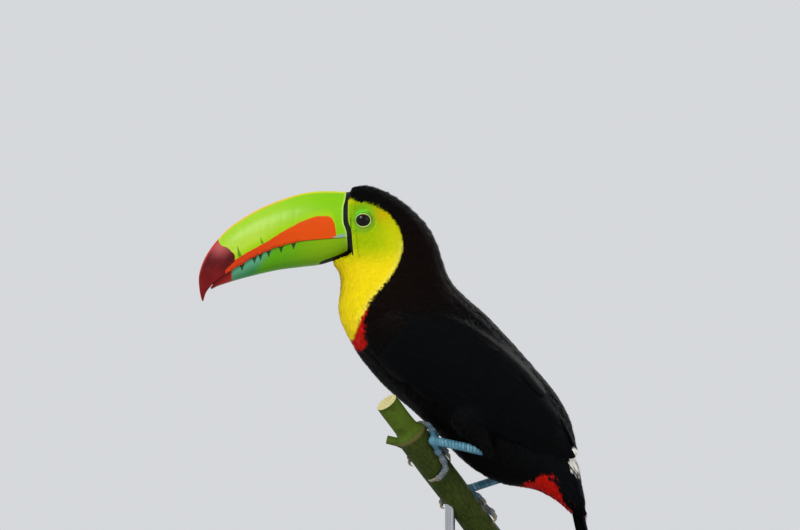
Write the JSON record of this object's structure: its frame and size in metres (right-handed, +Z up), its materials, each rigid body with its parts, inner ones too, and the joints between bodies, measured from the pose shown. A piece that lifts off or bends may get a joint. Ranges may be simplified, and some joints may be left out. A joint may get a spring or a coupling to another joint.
{
  "type": "keel-billed toucan",
  "caption": "Keel-billed toucan as a life-size still model, gripping a cut palm stem that one rod holds over a round base.",
  "frame": {"origin": "middle of the round base's underside", "axes": "+Z up, the bird faces -X, its left side faces -Y"},
  "size_m": [0.3329, 0.172, 0.4208],
  "materials": {
    "yellow_plumage": "soft short feathers",
    "black_plumage": "smooth feathers with a dull sheen",
    "bill_horn": "smooth horn with a soft shine",
    "eye": "wet and shiny",
    "foot_skin": "scaled skin",
    "claw_horn": "smooth horn",
    "palm_stem": "green bark with a dull shine",
    "base_wood": "dark, oiled",
    "rod_steel": "brushed"
  },
  "bodies": {
    "root": {"head": "yellow_plumage", "neck": "black_plumage", "trunk": "black_plumage", "tail": "black_plumage", "wing_left": "black_plumage", "wing_right": "black_plumage", "thigh_left": "black_plumage", "thigh_right": "black_plumage", "bill_upper": "bill_horn", "bill_lower": "bill_horn", "eye_left": "eye", "eye_right": "eye", "shank_left": "foot_skin", "shank_right": "foot_skin", "foot_left": "foot_skin", "foot_right": "foot_skin", "claw_left_1": "claw_horn", "claw_left_2": "claw_horn", "claw_left_3": "claw_horn", "claw_left_4": "claw_horn", "claw_right_1": "claw_horn", "claw_right_2": "claw_horn", "claw_right_3": "claw_horn", "claw_right_4": "claw_horn", "perch_stem": "palm_stem", "stand_base": "base_wood", "stand_rod": "rod_steel"}
  },
  "joints": []
}
